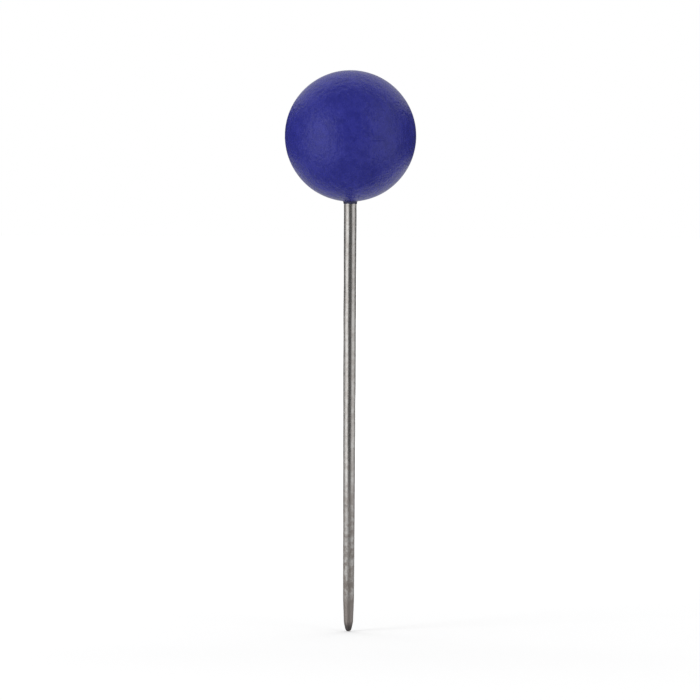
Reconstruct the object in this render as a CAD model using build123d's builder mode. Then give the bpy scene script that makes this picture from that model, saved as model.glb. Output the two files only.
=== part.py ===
from build123d import *

import os
from math import acos, atan2, cos, hypot, sin, sqrt

# A map pin: a plastic ball moulded onto one end of a steel needle.
# Millimetres. The origin is on the pin's axis at the foot of the collar, where the needle comes out of
# the plastic, and +Z runs up through the ball. The needle points down.

# Ball and collar
ball_diameter = 5.0
collar_length = 0.10  # plastic sleeve between the ball's underside and the bare wire
collar_wall = 0.015  # plastic thickness at the collar's foot
collar_flare = 0.012  # how much further out the collar's top is than its foot
collar_fillet = 0.05  # rounding between the collar and the ball

# Needle below the collar, from the top down
wire_diameter = 0.48
straight_length = 6.7
taper_length = 8.35
shoulder_diameter = 0.416  # where the long taper ends and the ground point begins
ground_length = 0.90
nose_diameter = 0.35  # where the ground cone turns in towards the tip
nose_length = 0.35
tip_radius = 0.12

# Flattened end of the wire that the plastic grips
swage_length = 1.2  # run-out from round wire to flat
paddle_width = 0.72
ball_cover = 1.8  # plastic left between the wire's end and the top of the ball

# Sizes that follow from these
ball_radius = ball_diameter / 2
ball_centre = collar_length + ball_radius
wire_radius = wire_diameter / 2
collar_foot_radius = wire_radius + collar_wall
collar_top_radius = collar_foot_radius + collar_flare
collar_top = ball_centre - sqrt(ball_radius**2 - collar_top_radius**2)
ground_start = -straight_length - taper_length
nose_start = ground_start - ground_length
tip = nose_start - nose_length
paddle_end = collar_length + ball_diameter - ball_cover
paddle_thickness = wire_diameter**2 / paddle_width  # pressing flat keeps the wire's section area

# The nose's flank is tangent to the ball-shaped tip: this is where they meet, seen from the tip's centre
nose_radius = nose_diameter / 2
nose_height = nose_length - tip_radius
flank_angle = atan2(nose_height, nose_radius) - acos(tip_radius / hypot(nose_radius, nose_height))
flank_end = (tip_radius * cos(flank_angle), tip + tip_radius * (1 + sin(flank_angle)))

os.makedirs("parts", exist_ok=True)

# Steel pin: needle turned about Z, then the wire's hidden end pressed flat
with BuildPart() as steel_pin:
    with BuildSketch(Plane.XZ):
        with BuildLine():
            wall = Line((wire_radius, 0), (wire_radius, -straight_length))
            Polyline(wall @ 1, (shoulder_diameter / 2, ground_start), (nose_radius, nose_start), flank_end)
            rounded_tip = TangentArc((0, tip), flank_end, tangent=(1, 0))
            Polyline(rounded_tip @ 0, (0, 0), wall @ 0)
        make_face()
    revolve(axis=Axis.Z)
    with BuildSketch(Plane.XY):
        Circle(wire_radius)
    with BuildSketch(Plane.XY.offset(swage_length)) as flat_section:
        Ellipse(paddle_width / 2, paddle_thickness / 2)
    loft()
    extrude(flat_section.sketch, amount=paddle_end - swage_length)

steel_pin.part.label = "steel_pin"
export_step(steel_pin.part, "parts/steel_pin.step")

# Ball head: ball and collar turned about Z, with the wire's own shape left as its socket
with BuildPart() as ball_head:
    with BuildSketch(Plane.XZ) as ball_profile:
        with BuildLine():
            collar = Polyline((0, 0), (collar_foot_radius, 0), (collar_top_radius, collar_top))
            ball = ThreePointArc(collar @ 1, (ball_radius, ball_centre), (0, ball_centre + ball_radius))
            Line(ball @ 1, collar @ 0)
        make_face()
        collar_corner = ball_profile.vertices().sort_by_distance((collar_top_radius, collar_top))[0]
        fillet(collar_corner, radius=collar_fillet)
    revolve(axis=Axis.Z)
    add(steel_pin.part, mode=Mode.SUBTRACT)

ball_head.part.label = "ball_head"
export_step(ball_head.part, "parts/ball_head.step")
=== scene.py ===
from math import acos, atan2, cos, exp, hypot, pi, radians, sin, sqrt

import bmesh
import bpy
from mathutils import Matrix, Vector, noise


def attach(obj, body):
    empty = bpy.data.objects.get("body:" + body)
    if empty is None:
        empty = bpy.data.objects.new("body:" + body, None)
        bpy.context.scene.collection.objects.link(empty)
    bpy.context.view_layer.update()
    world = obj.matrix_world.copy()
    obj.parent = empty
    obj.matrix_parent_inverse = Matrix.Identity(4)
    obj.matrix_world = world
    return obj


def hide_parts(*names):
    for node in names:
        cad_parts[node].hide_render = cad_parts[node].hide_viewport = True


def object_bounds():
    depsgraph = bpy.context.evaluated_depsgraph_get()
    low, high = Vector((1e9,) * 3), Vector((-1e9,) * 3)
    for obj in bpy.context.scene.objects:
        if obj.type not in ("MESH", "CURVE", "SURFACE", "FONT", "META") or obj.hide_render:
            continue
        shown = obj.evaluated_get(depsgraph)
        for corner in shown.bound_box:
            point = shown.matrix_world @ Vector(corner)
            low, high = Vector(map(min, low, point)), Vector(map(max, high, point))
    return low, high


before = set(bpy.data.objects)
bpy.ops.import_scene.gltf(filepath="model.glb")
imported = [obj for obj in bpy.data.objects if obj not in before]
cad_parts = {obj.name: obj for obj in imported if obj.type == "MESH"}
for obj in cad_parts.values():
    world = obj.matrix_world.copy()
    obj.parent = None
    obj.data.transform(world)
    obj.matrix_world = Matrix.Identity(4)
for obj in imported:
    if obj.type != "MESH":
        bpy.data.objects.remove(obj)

cadLow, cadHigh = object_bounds()
scene = bpy.context.scene
scene.view_settings.view_transform = "Standard"
mm = 0.001
crispFrom = 50  # degrees: edges that turn further than this stay crisp
print("frame loaded:", sorted(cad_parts))


# Turned meshes: rings run from one end of the axis to the other as (reach along X, reach along Y, height),
# and the first and last ring are single points.
def ringsBetween(first, last, steps):
    rings = []
    for step in range(1, steps + 1):
        share = step / steps
        rings.append(tuple(a + (b - a) * share for a, b in zip(first, last)))
    return rings


def turnPiece(name, rings, segments, relief):
    turned = bmesh.new()
    bakeMap = turned.loops.layers.uv.new("OFBake")
    rows = []
    for reachX, reachY, height in rings:
        if reachX == 0:
            rows.append([turned.verts.new((0, 0, height))] * segments)
            continue
        row = []
        for step in range(segments):
            angle = 2 * pi * step / segments
            point = Vector((reachX * cos(angle), reachY * sin(angle), height))
            row.append(turned.verts.new(relief(point)))
        rows.append(row)
    runs = [0]
    for low, high in zip(rings, rings[1:]):
        runs.append(runs[-1] + hypot(high[0] - low[0], high[2] - low[2]))
    for index in range(len(rows) - 1):
        for step in range(segments):
            after = (step + 1) % segments
            corners = [
                (rows[index][step], step, index),
                (rows[index][after], step + 1, index),
                (rows[index + 1][after], step + 1, index + 1),
                (rows[index + 1][step], step, index + 1),
            ]
            if corners[0][0] == corners[1][0]:
                corners.pop(0)
            elif corners[2][0] == corners[3][0]:
                corners.pop(2)
            face = turned.faces.new([corner[0] for corner in corners])
            face.smooth = True
            for loop, (vert, across, along) in zip(face.loops, corners):
                loop[bakeMap].uv = (across / segments, runs[along] / runs[-1])
    mesh = bpy.data.meshes.new(name)
    turned.to_mesh(mesh)
    turned.free()
    mesh.set_sharp_from_angle(angle=radians(crispFrom))
    piece = bpy.data.objects.new(name, mesh)
    scene.collection.objects.link(piece)
    return piece


# Node helpers
def addNode(tree, kind, inputs=None, **settings):
    node = tree.nodes.new(kind)
    for key, value in settings.items():
        setattr(node, key, value)
    for key, value in (inputs or {}).items():
        if isinstance(value, bpy.types.NodeSocket):
            tree.links.new(value, node.inputs[key])
        else:
            node.inputs[key].default_value = value
    return node


def mathOf(tree, operation, first, second=0.0, third=0.0):
    inputs = {0: first, 1: second, 2: third}
    return addNode(tree, "ShaderNodeMath", inputs, operation=operation).outputs[0]


def rangeOf(tree, value, start, end, low=0.0, high=1.0, smooth=True):
    inputs = {"Value": value, "From Min": start, "From Max": end, "To Min": low, "To Max": high}
    kind = "SMOOTHSTEP" if smooth else "LINEAR"
    return addNode(tree, "ShaderNodeMapRange", inputs, interpolation_type=kind).outputs["Result"]


def mixValue(tree, factor, first, second):
    return addNode(tree, "ShaderNodeMix", {0: factor, 2: first, 3: second}, data_type="FLOAT").outputs[0]


def mixColour(tree, factor, first, second):
    return addNode(tree, "ShaderNodeMix", {0: factor, 6: first, 7: second}, data_type="RGBA").outputs[2]


def turnedAbout(tree, vector, turn):
    inputs = {"Vector": vector, "Rotation": turn}
    return addNode(tree, "ShaderNodeVectorRotate", inputs, rotation_type="EULER_XYZ").outputs["Vector"]


def stretched(tree, vector, scale):
    return addNode(tree, "ShaderNodeMapping", {"Vector": vector, "Scale": scale}).outputs["Vector"]


def noiseOf(tree, vector, scale, detail=2.0, roughness=0.5):
    inputs = {"Vector": vector, "Scale": scale, "Detail": detail, "Roughness": roughness}
    return addNode(tree, "ShaderNodeTexNoise", inputs).outputs["Fac"]


def newGroup(name, inputs, outputs):
    group = bpy.data.node_groups.new(name, "ShaderNodeTree")
    for socketName, kind, value in inputs:
        socket = group.interface.new_socket(socketName, in_out="INPUT", socket_type=kind)
        if value is not None:
            socket.default_value = value
    for socketName, kind in outputs:
        group.interface.new_socket(socketName, in_out="OUTPUT", socket_type=kind)
    return group, addNode(group, "NodeGroupInput"), addNode(group, "NodeGroupOutput")


# Skin of a worked surface: fine grain, and blotches at two larger scales, for colour, gloss and relief
def makeSurfaceSkin():
    group, given, made = newGroup(
        "surfaceSkin",
        [
            ("Vector", "NodeSocketVector", None),
            ("Grain Scale", "NodeSocketFloat", 10000.0),
            ("Cloud Scale", "NodeSocketFloat", 2000.0),
        ],
        [("Grain", "NodeSocketFloat"), ("Mottle", "NodeSocketFloat"), ("Cloud", "NodeSocketFloat")],
    )
    place = given.outputs["Vector"]
    grainScale = given.outputs["Grain Scale"]
    cloudScale = given.outputs["Cloud Scale"]
    mottleScale = mathOf(group, "SQRT", mathOf(group, "MULTIPLY", grainScale, cloudScale))
    grain = noiseOf(group, place, grainScale, detail=3.0, roughness=0.6)
    mottle = noiseOf(group, place, mottleScale, detail=3.0, roughness=0.6)
    cloud = noiseOf(group, place, cloudScale, detail=4.0, roughness=0.55)
    # Noise keeps near its middle, so each is stretched to the full range
    group.links.new(rangeOf(group, grain, 0.25, 0.75, smooth=False), made.inputs["Grain"])
    group.links.new(rangeOf(group, mottle, 0.3, 0.7), made.inputs["Mottle"])
    group.links.new(rangeOf(group, cloud, 0.3, 0.7), made.inputs["Cloud"])
    return group


# Hairlines from handling: thin bands of two stretched noises, kept only in scattered places
hairlineLook = {
    "runs": (  # turn and stretch of each noise
        ((0.3, 1.2, 0.1), (6, 0.5, 1)),
        ((1.4, 0.2, 0.9), (1, 5, 0.4)),
    ),
    "placeScale": 0.6,  # scale of the scattered places, against that of the lines
    "placeFade": 0.08,
}


def makeHandlingHairlines():
    group, given, made = newGroup(
        "handlingHairlines",
        [
            ("Vector", "NodeSocketVector", None),
            ("Scale", "NodeSocketFloat", 1000.0),
            ("Width", "NodeSocketFloat", 0.01),
            ("Spread", "NodeSocketFloat", 0.55),
        ],
        [("Hairlines", "NodeSocketFloat")],
    )
    lines = None
    for turn, shape in hairlineLook["runs"]:
        along = stretched(group, turnedAbout(group, given.outputs["Vector"], turn), shape)
        bands = noiseOf(group, along, given.outputs["Scale"], detail=0.0)
        offset = mathOf(group, "ABSOLUTE", mathOf(group, "SUBTRACT", bands, 0.5))
        line = rangeOf(group, offset, given.outputs["Width"], 0.0)
        lines = line if lines is None else mathOf(group, "MAXIMUM", lines, line)
    placeScale = mathOf(group, "MULTIPLY", given.outputs["Scale"], hairlineLook["placeScale"])
    places = noiseOf(group, given.outputs["Vector"], placeScale, detail=1.0)
    wider = mathOf(group, "ADD", given.outputs["Spread"], hairlineLook["placeFade"])
    kept = rangeOf(group, places, given.outputs["Spread"], wider)
    group.links.new(mathOf(group, "MULTIPLY", lines, kept), made.inputs["Hairlines"])
    return group


surfaceSkin = makeSurfaceSkin()
handlingHairlines = makeHandlingHairlines()


def placeSkin(tree, place, look):
    inputs = {"Vector": place, "Grain Scale": look["grainScale"], "Cloud Scale": look["cloudScale"]}
    return addNode(tree, "ShaderNodeGroup", inputs, node_tree=surfaceSkin).outputs


def placeHairlines(tree, place, look):
    scale, width, spread = look["hairlines"]
    inputs = {"Vector": place, "Scale": scale, "Width": width, "Spread": spread}
    return addNode(tree, "ShaderNodeGroup", inputs, node_tree=handlingHairlines).outputs["Hairlines"]


def newMaterial(name):
    material = bpy.data.materials.new(name)
    material.use_nodes = True
    tree = material.node_tree
    place = addNode(tree, "ShaderNodeTexCoord").outputs["Object"]
    return material, tree, tree.nodes["Principled BSDF"], place


# Ball head: moulded ball, short collar, and the socket that the wire's flattened end fills
ballHead = {
    "ballRadius": 2.5 * mm,
    "ballHeight": 2.6 * mm,
    "collarFootRadius": 0.255 * mm,
    "collarTopRadius": 0.267 * mm,
    "collarFillet": 0.05 * mm,
    "footLip": 0.006 * mm,  # rounding of the collar's lower edge
    "footWander": 0.036 * mm,  # how unevenly the plastic ends on the wire
    "footReach": 0.03 * mm,  # height below which the collar follows that
    "footWaves": 1.7,  # how often it goes up and down round the wire
    "seamHeight": 0.03 * mm,  # witness line of the mould, just under the ball's middle
    "seamWidth": 0.05 * mm,
    "seamDrop": 0.1 * mm,
    "seamFaint": 0.06,  # share of its height all round
    "seamBold": 23,  # degrees round from the camera to where it stands out
    "seamFade": 0.97,  # how near to facing that way it starts to stand out
    "unevenness": 0.004 * mm,
    "unevenWaves": 2.3,
    "unevenFrom": 0.985,  # share of the ball's radius that leaves the collar and the socket out
    "segments": 192,
    "latitudes": 120,
    "plastic": (0.0135, 0.0155, 0.178, 1),
    "plasticPale": (0.0295, 0.0315, 0.282, 1),
    "ior": 1.44,
    "paintedUnderShade": (0.036, 0.037, 0.092, 1),  # painted shade: the collar and the ball just above it are coloured darker where shade falls under the ball
    "paintedUnderShadeFrom": 0.17 * mm,
    "paintedUnderShadeTo": 0.09 * mm,
    "gloss": (0.22, 0.32),
    "grainScale": 11000.0,
    "cloudScale": 1800.0,
    "fineShare": 0.65,  # of mottle and grain in the blotches, the rest is cloud
    "grainShare": 0.42,  # of grain in that share
    "grainDepth": 0.008 * mm,
    "peelDepth": 1.4,  # wider orange peel of the moulding, in grain depths
    "hairlines": (420.0, 0.006, 0.56),  # scale, width, spread
    "hairlineDepth": 0.6,  # in grain depths
    "hairlineDulling": 0.12,
}

# Needle: drawn wire with a long slight taper, a ground point and a flattened end inside the ball
needle = {
    "wireRadius": 0.24 * mm,
    "straightLength": 6.7 * mm,
    "taperLength": 8.35 * mm,
    "shoulderRadius": 0.208 * mm,
    "groundLength": 0.9 * mm,
    "noseRadius": 0.175 * mm,
    "noseLength": 0.35 * mm,
    "tipRadius": 0.12 * mm,
    "swageLength": 1.2 * mm,
    "paddleReach": (0.36 * mm, 0.16 * mm),
    "paddleEnd": 3.3 * mm,
    "unevenness": 0.007 * mm,
    "unevenRound": 0.3 * mm,
    "unevenAlong": 1.2 * mm,
    "unevenFrom": -0.2 * mm,  # the wire is even where the collar holds it
    "segments": 72,
    "steel": (0.66, 0.645, 0.625, 1),
    "tarnish": (0.47, 0.425, 0.395, 1),
    "groundSteel": (0.46, 0.415, 0.39, 1),
    # painted shade: the very tip of the point is coloured nearly black
    "paintedTipShade": (0.2, 0.18, 0.18, 1),
    "gloss": (0.15, 0.32),
    "dullGloss": (0.45, 0.66),
    "groundGloss": (0.52, 0.62),
    "anisotropy": 0.4,  # drawn lines run along the wire, so it is rougher round than along
    "dullReach": (-8.6 * mm, -13.2 * mm),  # the bright drawn finish fades out over this stretch
    "groundReach": (-15.0 * mm, -15.4 * mm),
    "paintedTipShadeReach": (-15.9 * mm, -16.15 * mm),
    "fadeWander": 0.6 * mm,
    "grainScale": 14000.0,
    "cloudScale": 2200.0,
    "fineShare": 0.65,  # of mottle in the blotches, the rest is cloud
    "blotchEdges": (0.12, 0.88),
    "brightTarnish": 0.55,  # share of the tarnish that the bright stretch has too
    "patchShare": 0.6,  # of blotches in the bright gloss, the rest is draw lines
    "hairlines": (1500.0, 0.02, 0.52),  # scale, width, spread
    "hairlineDulling": 0.08,
    "drawLines": (40000.0, 0.01),  # scale round the wire, and the share of it along the wire
    "grindRings": (45000.0, 0.06),  # scale along the wire, and the share of it round the wire
    "drawLineDepth": 0.001 * mm,
    "waveDepth": 3.5,  # slow waves of the wire, in draw line depths
    "dentDepth": 5,  # small dents of the dull stretch, in the same measure
    "grindDepth": 5,  # rings that the wheel left round the point, in the same measure
}


def flattenedEnd():
    wire, (wide, thin) = needle["wireRadius"], needle["paddleReach"]
    rings = [(wire, wire, 0)]
    rings += ringsBetween(rings[0], (wide, thin, needle["swageLength"]), steps=12)
    rings += ringsBetween(rings[-1], (wide, thin, needle["paddleEnd"]), steps=8)
    return rings


def ballRings():
    radius, height = ballHead["ballRadius"], ballHead["ballHeight"]
    foot, fillet, lip = ballHead["collarFootRadius"], ballHead["collarFillet"], ballHead["footLip"]
    top = ballHead["collarTopRadius"]
    rise = height - sqrt(radius**2 - top**2)
    socket = flattenedEnd()[::-1]
    rings = [(0, 0, socket[0][2])] + socket
    for turn in (0, 30, 60, 90):
        edge = foot - lip + lip * sin(radians(turn))
        rings.append((edge, edge, lip - lip * cos(radians(turn))))
    # The fillet's centre is one fillet radius off the collar's flank and off the ball
    lean = hypot(top - foot, rise)
    flank = Vector(((top - foot) / lean, rise / lean))
    outward = Vector((flank.y, -flank.x))
    start = Vector((foot, -height)) + fillet * outward
    along = start.dot(flank)
    reach = -along - sqrt(along**2 - start.length_squared + (radius + fillet) ** 2)
    centre = start + reach * flank
    for share in (0, 0.15, 0.3, 0.45, 0.6, 0.75, 0.9):
        towards = (-outward).lerp(-centre.normalized(), share).normalized()
        point = centre + fillet * towards
        rings.append((point.x, point.x, point.y + height))
    # Latitudes from the fillet to the pole, with extra rings across the mould's witness line
    lowest = -acos(centre.x / centre.length)
    count = ballHead["latitudes"]
    latitudes = [lowest + (pi / 2 - lowest) * step / count for step in range(count)]
    seam, middle = ballHead["seamWidth"] / radius, -ballHead["seamDrop"] / radius
    latitudes += [middle + seam * step / 4 for step in range(-10, 11)]
    for latitude in sorted(latitudes):
        reach = radius * cos(latitude)
        rings.append((reach, reach, height + radius * sin(latitude)))
    rings.append((0, 0, height + radius))
    return rings


def ballRelief(point):
    centre = Vector((0, 0, ballHead["ballHeight"]))
    outward = point - centre
    if point.z < ballHead["footReach"]:  # the collar's foot ends at uneven heights on the wire
        turn = Vector((point.x, point.y, 0)).normalized()
        creep = ballHead["footWander"] * (0.5 + 0.5 * noise.noise(turn * ballHead["footWaves"]))
        return point + Vector((0, 0, creep))
    if outward.length < ballHead["unevenFrom"] * ballHead["ballRadius"]:
        return point
    direction = outward.normalized()
    swell = noise.noise(direction * ballHead["unevenWaves"]) * ballHead["unevenness"]
    bold = radians(ballHead["seamBold"])
    facing = direction.x * sin(bold) - direction.y * cos(bold)
    faint, fade = ballHead["seamFaint"], ballHead["seamFade"]
    seamShare = faint + (1 - faint) * max(0, (facing - fade) / (1 - fade))
    offset = (outward.z + ballHead["seamDrop"]) / ballHead["seamWidth"]
    swell += ballHead["seamHeight"] * seamShare * exp(-offset * offset)
    return point + direction * swell


def makeBallPlastic():
    material, tree, shader, place = newMaterial("blueSatinPlastic")
    skin = placeSkin(tree, place, ballHead)
    hairlines = placeHairlines(tree, place, ballHead)
    fine = mixValue(tree, ballHead["grainShare"], skin["Mottle"], skin["Grain"])
    blotches = mixValue(tree, ballHead["fineShare"], skin["Cloud"], fine)
    colour = mixColour(tree, blotches, ballHead["plastic"], ballHead["plasticPale"])
    height = addNode(tree, "ShaderNodeSeparateXYZ", {0: place}).outputs["Z"]
    # Painted shade: darker from this height down, over the collar and the part of the ball's underside next
    # to it
    thin = rangeOf(tree, height, ballHead["paintedUnderShadeFrom"], ballHead["paintedUnderShadeTo"])
    colour = mixColour(tree, thin, colour, ballHead["paintedUnderShade"])
    gloss = mixValue(tree, blotches, *ballHead["gloss"])
    gloss = mathOf(tree, "MULTIPLY_ADD", hairlines, ballHead["hairlineDulling"], gloss)
    relief = mathOf(tree, "MULTIPLY_ADD", skin["Mottle"], ballHead["peelDepth"], skin["Grain"])
    relief = mathOf(tree, "MULTIPLY_ADD", hairlines, -ballHead["hairlineDepth"], relief)
    bump = addNode(tree, "ShaderNodeBump", {"Height": relief, "Distance": ballHead["grainDepth"]})
    tree.links.new(colour, shader.inputs["Base Color"])
    tree.links.new(gloss, shader.inputs["Roughness"])
    tree.links.new(bump.outputs["Normal"], shader.inputs["Normal"])
    shader.inputs["IOR"].default_value = ballHead["ior"]
    return material


mapPinBall = turnPiece("mapPinBall", ballRings(), ballHead["segments"], ballRelief)
mapPinBall.data.materials.append(makeBallPlastic())
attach(mapPinBall, "root")
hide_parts("ball_head")
print("ball head:", len(mapPinBall.data.polygons), "faces")


def needleRings():
    tipRadius, nose = needle["tipRadius"], needle["noseRadius"]
    groundStart = -needle["straightLength"] - needle["taperLength"]
    noseStart = groundStart - needle["groundLength"]
    tip = noseStart - needle["noseLength"]
    # The nose's flank leaves the rounded tip at a tangent, at this angle above the tip's centre
    noseHeight = needle["noseLength"] - tipRadius
    flankAngle = atan2(noseHeight, nose) - acos(tipRadius / hypot(nose, noseHeight))
    rings = [(0, 0, tip)]
    tipSteps = 12
    for step in range(1, tipSteps + 1):
        angle = -pi / 2 + (pi / 2 + flankAngle) * step / tipSteps
        reach = tipRadius * cos(angle)
        rings.append((reach, reach, tip + tipRadius * (1 + sin(angle))))
    shoulder, wire = needle["shoulderRadius"], needle["wireRadius"]
    rings += ringsBetween(rings[-1], (nose, nose, noseStart), steps=6)
    rings += ringsBetween(rings[-1], (shoulder, shoulder, groundStart), steps=14)
    rings += ringsBetween(rings[-1], (wire, wire, -needle["straightLength"]), steps=60)
    rings += ringsBetween(rings[-1], (wire, wire, 0), steps=48)
    rings += flattenedEnd()[1:]
    rings.append((0, 0, rings[-1][2]))
    return rings


def needleRelief(point):
    if point.z > needle["unevenFrom"]:
        return point
    outward = Vector((point.x, point.y, 0)).normalized()
    across, along = needle["unevenRound"], needle["unevenAlong"]
    dents = noise.noise(Vector((point.x / across, point.y / across, point.z / along)))
    return point + outward * dents * needle["unevenness"]


def makeNeedleSteel():
    material, tree, shader, place = newMaterial("drawnNeedleSteel")
    skin = placeSkin(tree, place, needle)
    hairlines = placeHairlines(tree, place, needle)
    height = addNode(tree, "ShaderNodeSeparateXYZ", {0: place}).outputs["Z"]
    drawScale, alongWire = needle["drawLines"]
    drawn = noiseOf(tree, stretched(tree, place, (1, 1, alongWire)), drawScale, detail=3.0)
    # Bright above, duller towards the point, ground at the point, and painted shade at the very tip
    wander = mathOf(tree, "SUBTRACT", skin["Mottle"], 0.5)
    wander = mathOf(tree, "MULTIPLY", wander, needle["fadeWander"])
    level = mathOf(tree, "ADD", height, wander)
    dull = rangeOf(tree, level, *needle["dullReach"])
    ground = rangeOf(tree, level, *needle["groundReach"])
    # Painted shade: the very tip is coloured dark to stand in for shade
    dark = rangeOf(tree, height, *needle["paintedTipShadeReach"])
    blotches = mixValue(tree, needle["fineShare"], skin["Cloud"], skin["Mottle"])
    blotches = rangeOf(tree, blotches, *needle["blotchEdges"])
    tarnished = rangeOf(tree, dull, 0.0, 1.0, needle["brightTarnish"], 1.0)
    tarnished = mathOf(tree, "MULTIPLY", tarnished, blotches)
    colour = mixColour(tree, tarnished, needle["steel"], needle["tarnish"])
    colour = mixColour(tree, ground, colour, needle["groundSteel"])
    colour = mixColour(tree, dark, colour, needle["paintedTipShade"])
    bright = mixValue(tree, needle["patchShare"], drawn, blotches)
    bright = mixValue(tree, bright, *needle["gloss"])
    worn = mixValue(tree, blotches, *needle["dullGloss"])
    cut = mixValue(tree, skin["Grain"], *needle["groundGloss"])
    gloss = mixValue(tree, ground, mixValue(tree, dull, bright, worn), cut)
    gloss = mathOf(tree, "MULTIPLY_ADD", hairlines, needle["hairlineDulling"], gloss)
    dents = mathOf(tree, "MULTIPLY_ADD", skin["Mottle"], needle["dentDepth"], skin["Grain"])
    grindScale, roundWire = needle["grindRings"]
    wheelMarks = noiseOf(tree, stretched(tree, place, (roundWire, roundWire, 1)), grindScale, detail=2.0)
    wheelMarks = mathOf(tree, "MULTIPLY", wheelMarks, needle["grindDepth"])
    waves = mathOf(tree, "MULTIPLY_ADD", skin["Cloud"], needle["waveDepth"], drawn)
    relief = mixValue(tree, ground, dents, wheelMarks)
    relief = mathOf(tree, "MULTIPLY_ADD", dull, relief, waves)
    bump = addNode(tree, "ShaderNodeBump", {"Height": relief, "Distance": needle["drawLineDepth"]})
    tree.links.new(colour, shader.inputs["Base Color"])
    tree.links.new(gloss, shader.inputs["Roughness"])
    tree.links.new(bump.outputs["Normal"], shader.inputs["Normal"])
    shader.inputs["Metallic"].default_value = 1.0
    shader.inputs["Anisotropic"].default_value = needle["anisotropy"]
    return material


mapPinNeedle = turnPiece("mapPinNeedle", needleRings(), needle["segments"], needleRelief)
mapPinNeedle.data.materials.append(makeNeedleSteel())
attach(mapPinNeedle, "root")
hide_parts("steel_pin")
print("needle:", len(mapPinNeedle.data.polygons), "faces")


# Floor under the point
floorLook = {
    "size": 1.0,
    "colour": (0.82, 0.82, 0.82, 1),
    "lift": (0.08, 0.5),  # light of its own that the camera alone sees, near the pin and far off
    "liftReach": (0.0, 0.25),
}


def makeFloor():
    mesh = bpy.data.meshes.new("paleFloor")
    half, level = floorLook["size"] / 2, cadLow.z
    corners = [(-half, -half, level), (half, -half, level), (half, half, level), (-half, half, level)]
    mesh.from_pydata(corners, [], [(0, 1, 2, 3)])
    floor = bpy.data.objects.new("paleFloor", mesh)
    scene.collection.objects.link(floor)
    floor.visible_glossy = False
    material = bpy.data.materials.new("paleFloor")
    material.use_nodes = True
    tree = material.node_tree
    tree.nodes.clear()
    matt = addNode(tree, "ShaderNodeBsdfDiffuse", {"Color": floorLook["colour"]})
    place = addNode(tree, "ShaderNodeTexCoord").outputs["Object"]
    distance = addNode(tree, "ShaderNodeVectorMath", {0: place}, operation="LENGTH").outputs["Value"]
    cameraRay = addNode(tree, "ShaderNodeLightPath").outputs["Is Camera Ray"]
    lift = rangeOf(tree, distance, *floorLook["liftReach"], *floorLook["lift"])
    lift = mathOf(tree, "MULTIPLY", cameraRay, lift)
    glow = addNode(tree, "ShaderNodeEmission", {"Strength": lift})
    both = addNode(tree, "ShaderNodeAddShader", {0: matt.outputs[0], 1: glow.outputs[0]})
    # Clear from underneath, so that the pin can be looked at from below
    under = addNode(tree, "ShaderNodeNewGeometry").outputs["Backfacing"]
    clear = addNode(tree, "ShaderNodeBsdfTransparent")
    shown = addNode(tree, "ShaderNodeMixShader", {0: under, 1: both.outputs[0], 2: clear.outputs[0]})
    addNode(tree, "ShaderNodeOutputMaterial", {"Surface": shown.outputs[0]})
    mesh.materials.append(material)


# Studio: white all round for the camera, an even glow for matt surfaces, and for gloss two soft boxes in
# front, a white sweep behind and dark openings to the sides
studio = {
    "matt": 0.36,
    "mattLean": (-0.06, 0.1, 0.04),  # the glow grows towards the left, the back and the top,
    "mattRise": 0.45,  # and both above and below, away from the dark openings
    "front": 0.11,
    "opening": 0.046,
    "sweep": 0.59,
    "sweepTurn": 0.05,  # a little brighter to the right than to the left,
    "sweepSlant": 0.45,  # and below more so
    "sweepReach": (0.1, 0.52),  # how far behind the pin it starts and is full
    "sweepLean": 0.11,  # it comes further forward above than below
    "sweepMiddle": (0.985, 0.998),  # straight behind the pin it has no opening
    # In degrees: each box starts, is full, is still full and ends round from the camera, and above and below
    # its middle it ends and is full
    "softBoxes": (
        {"side": -1, "level": 1.12, "span": (18, 38, 71, 95), "middle": 0, "height": (44, 26)},
        {"side": 1, "level": 0.78, "span": (27, 49, 80, 106), "middle": 6, "height": (52, 32)},
    ),
    "openingHeight": (22, 30),  # degrees of slope where the openings end and the sweep is full
}


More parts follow.
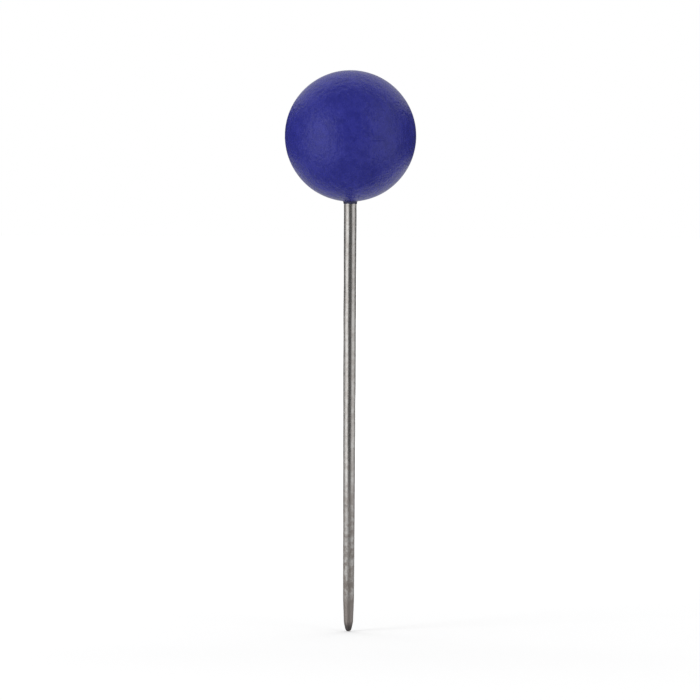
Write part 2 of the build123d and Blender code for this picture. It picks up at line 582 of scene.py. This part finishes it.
def makeStudio():
    world = bpy.data.worlds.new("whiteStudio")
    scene.world = world
    world.use_nodes = True
    world.cycles.sampling_method = "NONE"
    tree = world.node_tree
    tree.nodes.clear()
    direction = addNode(tree, "ShaderNodeTexCoord").outputs["Generated"]
    x, y, z = addNode(tree, "ShaderNodeSeparateXYZ", {0: direction}).outputs
    around = mathOf(tree, "ARCTAN2", x, mathOf(tree, "MULTIPLY", y, -1.0))
    elevation = mathOf(tree, "ARCSINE", z)
    slope = mathOf(tree, "ARCTAN2", mathOf(tree, "ABSOLUTE", z), mathOf(tree, "ABSOLUTE", x))
    behind = mathOf(tree, "MULTIPLY_ADD", z, studio["sweepLean"], y)
    behind = rangeOf(tree, behind, *studio["sweepReach"])
    lit = rangeOf(tree, slope, *[radians(angle) for angle in studio["openingHeight"]])
    straight = rangeOf(tree, y, *studio["sweepMiddle"])
    sweep = mathOf(tree, "MULTIPLY", behind, mathOf(tree, "MAXIMUM", lit, straight))
    shine = mixValue(tree, behind, studio["front"], studio["opening"])
    below = mathOf(tree, "MAXIMUM", mathOf(tree, "MULTIPLY", z, -1.0), 0.0)
    slant = mathOf(tree, "MULTIPLY", x, below)
    sweepLevel = mathOf(tree, "MULTIPLY_ADD", x, studio["sweepTurn"], studio["sweep"])
    sweepLevel = mathOf(tree, "MULTIPLY_ADD", slant, studio["sweepSlant"], sweepLevel)
    shine = mixValue(tree, sweep, shine, sweepLevel)
    for box in studio["softBoxes"]:
        begin, full, stay, end = [radians(angle) for angle in box["span"]]
        turned = mathOf(tree, "MULTIPLY", around, box["side"])
        shape = rangeOf(tree, turned, begin, full)
        shape = mathOf(tree, "MULTIPLY", shape, rangeOf(tree, turned, end, stay))
        offset = mathOf(tree, "ABSOLUTE", mathOf(tree, "SUBTRACT", elevation, radians(box["middle"])))
        inHeight = rangeOf(tree, offset, *[radians(angle) for angle in box["height"]])
        shine = mixValue(tree, mathOf(tree, "MULTIPLY", shape, inHeight), shine, box["level"])
    leanInputs = {0: direction, 1: studio["mattLean"]}
    lean = addNode(tree, "ShaderNodeVectorMath", leanInputs, operation="DOT_PRODUCT")
    rise = mathOf(tree, "MULTIPLY_ADD", mathOf(tree, "ABSOLUTE", z), studio["mattRise"], studio["matt"])
    matt = mathOf(tree, "ADD", lean.outputs["Value"], rise)
    path = addNode(tree, "ShaderNodeLightPath").outputs
    seen = mathOf(tree, "MAXIMUM", path["Is Camera Ray"], path["Is Transmission Ray"])
    level = mixValue(tree, path["Is Glossy Ray"], matt, shine)
    level = mixValue(tree, seen, level, 1.0)
    glow = addNode(tree, "ShaderNodeBackground", {"Color": (1, 1, 1, 1), "Strength": level})
    addNode(tree, "ShaderNodeOutputWorld", {"Surface": glow.outputs[0]})


# Low white band round the sides and the back that only the needle shows, along its edges. Where it starts
# and ends is given as parts of a direction from the pin.
lowBand = {
    "radius": 2.0,
    "height": 0.6,
    "segments": 48,
    "left": (0.9, 0.34),  # level beside the pin and behind it
    "right": (0.44, 0.4),
    "levelReach": (0.0, 0.35),  # backwards, from the first level to the second
    "start": (-0.05, 0.12),  # how far behind the pin it starts and is full
    "sides": (-0.1, 0.1),  # across, from the left levels to the right ones
    "leftTop": (-0.03, -0.06),  # heights where it starts and is full
    "rightTop": (-0.03, -0.05),
    "foot": (-0.22, -0.17),  # heights where it ends and is still full
    "growth": 1.3,  # how much brighter its lower edge is
}


def makeLowBand():
    corners = []
    faces = []
    segments = lowBand["segments"]
    for step in range(segments):
        angle = 2 * pi * step / segments
        x, y = lowBand["radius"] * cos(angle), lowBand["radius"] * sin(angle)
        corners += [(x, y, 0), (x, y, -lowBand["height"])]
        after = (step + 1) % segments
        faces.append((2 * step, 2 * after, 2 * after + 1, 2 * step + 1))
    mesh = bpy.data.meshes.new("lowBand")
    mesh.from_pydata(corners, [], faces)
    band = bpy.data.objects.new("lowBand", mesh)
    scene.collection.objects.link(band)
    band.visible_camera = False
    band.visible_diffuse = False
    band.visible_transmission = False
    band.visible_shadow = False
    shownOn = bpy.data.collections.new("lowBandShownOn")
    shownOn.objects.link(mapPinNeedle)
    band.light_linking.receiver_collection = shownOn
    material = bpy.data.materials.new("lowBand")
    material.use_nodes = True
    material.cycles.emission_sampling = "NONE"
    tree = material.node_tree
    tree.nodes.clear()
    place = addNode(tree, "ShaderNodeTexCoord").outputs["Object"]
    direction = addNode(tree, "ShaderNodeVectorMath", {0: place}, operation="NORMALIZE").outputs["Vector"]
    x, y, z = addNode(tree, "ShaderNodeSeparateXYZ", {0: direction}).outputs
    left = rangeOf(tree, y, *lowBand["levelReach"], *lowBand["left"])
    left = mathOf(tree, "MULTIPLY", left, rangeOf(tree, z, *lowBand["leftTop"]))
    right = rangeOf(tree, y, *lowBand["levelReach"], *lowBand["right"])
    right = mathOf(tree, "MULTIPLY", right, rangeOf(tree, z, *lowBand["rightTop"]))
    level = mixValue(tree, rangeOf(tree, x, *lowBand["sides"]), left, right)
    level = mathOf(tree, "MULTIPLY", level, rangeOf(tree, y, *lowBand["start"]))
    level = mathOf(tree, "MULTIPLY", level, rangeOf(tree, z, *lowBand["foot"]))
    growth = rangeOf(tree, z, lowBand["leftTop"][1], lowBand["foot"][1], 1.0, lowBand["growth"])
    level = mathOf(tree, "MULTIPLY", level, growth)
    glow = addNode(tree, "ShaderNodeEmission", {"Strength": level})
    clear = addNode(tree, "ShaderNodeBsdfTransparent")
    both = addNode(tree, "ShaderNodeAddShader", {0: glow.outputs[0], 1: clear.outputs[0]})
    addNode(tree, "ShaderNodeOutputMaterial", {"Surface": both.outputs[0]})
    mesh.materials.append(material)


# Lamps that light the matt plastic and lay the soft shadow; the studio above is what the gloss shows
lampAim = (0, 0, -3 * mm)
lamps = {
    "leftLamp": {"round": -52, "up": 20, "distance": 0.3, "size": (0.12, 0.14), "power": 0.33},
    "rightLamp": {"round": 42, "up": 20, "distance": 0.3, "size": (0.12, 0.14), "power": 0.13},
    "backLamp": {"round": 180, "up": 50, "distance": 0.3, "size": (0.4, 0.2), "power": 0.42},
}


def makeLamps():
    aim = Vector(lampAim)
    for name, lamp in lamps.items():
        light = bpy.data.lights.new(name, "AREA")
        light.shape = "RECTANGLE"
        light.size, light.size_y = lamp["size"]
        light.energy = lamp["power"]
        body = bpy.data.objects.new(name, light)
        scene.collection.objects.link(body)
        turn, up = radians(lamp["round"]), radians(lamp["up"])
        towards = Vector((sin(turn) * cos(up), -cos(turn) * cos(up), sin(up)))
        body.location = aim + towards * lamp["distance"]
        body.rotation_euler = towards.to_track_quat("Z", "Y").to_euler()
        body.visible_camera = False
        body.visible_glossy = False


# Camera: a long lens, a little above the pin's middle, leaning as the photo does
cameraLook = {
    "distance": 0.25,
    "frameWidth": 26.67 * mm,  # what the picture's width takes in at the pin
    "elevation": 2.7,
    "roll": 0.25,
    "aim": (0.016 * mm, 0, -5.552 * mm),
    "nearClip": 1 * mm,
}


def makeCamera():
    data = bpy.data.cameras.new("pinCamera")
    data.lens = data.sensor_width * cameraLook["distance"] / cameraLook["frameWidth"]
    data.clip_start = cameraLook["nearClip"]
    camera = bpy.data.objects.new("pinCamera", data)
    scene.collection.objects.link(camera)
    up = radians(cameraLook["elevation"])
    back = Vector((0, -cos(up), sin(up)))
    place = Vector(cameraLook["aim"]) + back * cameraLook["distance"]
    turn = (-back).to_track_quat("-Z", "Y").to_matrix()
    turn = turn @ Matrix.Rotation(radians(cameraLook["roll"]), 3, "Z")
    camera.matrix_world = Matrix.Translation(place) @ turn.to_4x4()
    scene.camera = camera


makeFloor()
makeStudio()
makeLowBand()
makeLamps()
makeCamera()
print("floor, studio, low band, lamps and camera made")
